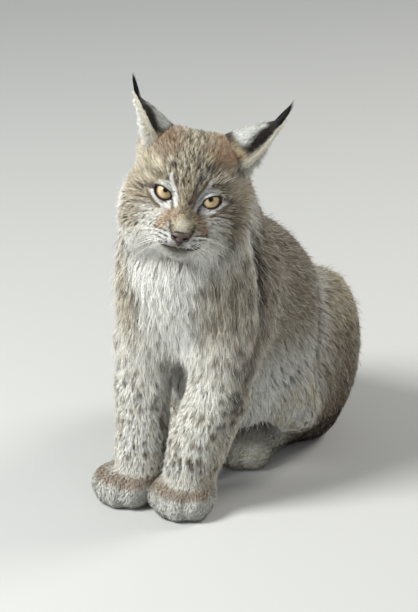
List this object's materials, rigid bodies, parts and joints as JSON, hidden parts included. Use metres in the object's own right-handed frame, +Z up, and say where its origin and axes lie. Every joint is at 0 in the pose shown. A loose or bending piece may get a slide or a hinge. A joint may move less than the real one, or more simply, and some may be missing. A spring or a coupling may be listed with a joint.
{
  "type": "juvenile Eurasian lynx",
  "caption": "Life-size still model of a young Eurasian lynx sitting upright with its head turned, with tufted ears and thick spotted fur",
  "frame": {"origin": "middle of the bounding box's base, on the floor between the fore and hind paws", "axes": "+Z up from the floor to the ear tips, -Y the way the chest faces, +X the animal's own left side"},
  "size_m": [0.252, 0.459, 0.5262],
  "materials": {
    "coat_face": "soft brown-grey coat of the face, with pale marks round the eyes",
    "nose_pad": "damp fine-grained dark pink-brown",
    "coat_ear": "short black and grey-white hair with a pale fringe",
    "eyeball": "wet, amber",
    "coat_neck": "long soft pale grey-brown coat",
    "coat_body": "long soft grey-brown coat, white below",
    "coat_leg": "dense pale coat with dark spots",
    "coat_paw": "short dense pale grey coat",
    "coat_haunch": "thick grey-brown coat with dark spots",
    "coat_tail": "thick brown coat with a black end"
  },
  "bodies": {
    "root": {"head": "coat_face", "nose": "nose_pad", "ear_left": "coat_ear", "ear_right": "coat_ear", "eye_left": "eyeball", "eye_right": "eyeball", "neck": "coat_neck", "torso": "coat_body", "foreleg_left": "coat_leg", "foreleg_right": "coat_leg", "forepaw_left": "coat_paw", "forepaw_right": "coat_paw", "hindleg_left": "coat_haunch", "hindleg_right": "coat_haunch", "hindpaw_left": "coat_paw", "hindpaw_right": "coat_paw", "tail": "coat_tail"}
  },
  "joints": []
}
